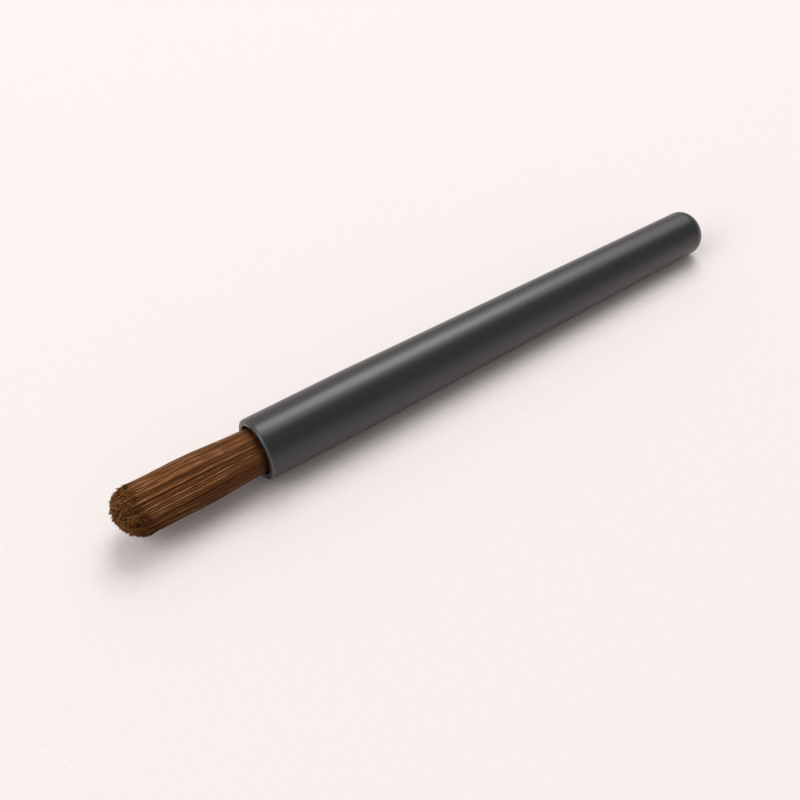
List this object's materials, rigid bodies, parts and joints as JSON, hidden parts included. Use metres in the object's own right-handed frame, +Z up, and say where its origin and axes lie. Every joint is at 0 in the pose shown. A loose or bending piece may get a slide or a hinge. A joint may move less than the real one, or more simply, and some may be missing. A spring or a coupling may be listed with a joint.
{
  "type": "calligraphy brush",
  "caption": "Writing brush lying on its side: round handle that tapers to a rounded butt, and a blunt, domed tuft of brown hair that bends sideways and springs back.",
  "frame": {"origin": "on the surface that the brush lies on, under the middle of its length", "axes": "+Z up; +X along the brush from the tip of the hair to the butt of the handle; +Y across it"},
  "size_m": [0.1828, 0.016, 0.0164],
  "materials": {
    "handle_finish": "satin",
    "hair": "matte",
    "thread": "matte",
    "resin": "gloss",
    "cup_brass": "satin"
  },
  "bodies": {
    "handle": {"handle_barrel": "handle_finish", "root_cup": "cup_brass", "glue_ring": "resin", "root_resin": "resin", "hair_root": "hair", "binding_thread_front": "thread", "binding_thread_middle": "thread", "binding_thread_rear": "thread"},
    "hair_tuft": {"cover_lock_01": "hair", "cover_lock_02": "hair", "cover_lock_03": "hair", "cover_lock_04": "hair", "cover_lock_05": "hair", "cover_lock_06": "hair", "cover_lock_07": "hair", "cover_lock_08": "hair", "cover_lock_09": "hair", "cover_lock_10": "hair", "inner_lock_1": "hair", "inner_lock_2": "hair", "inner_lock_3": "hair", "inner_lock_4": "hair", "inner_lock_5": "hair", "centre_lock": "hair"}
  },
  "joints": [
    {"name": "tuft_bend", "type": "hinge", "parent": "handle", "child": "hair_tuft", "pos_m": [-0.061, 0, 0.00847], "axis": [0, 0, 1], "range_deg": [-45, 45], "stiffness_Nm_per_rad": 0.02}
  ]
}
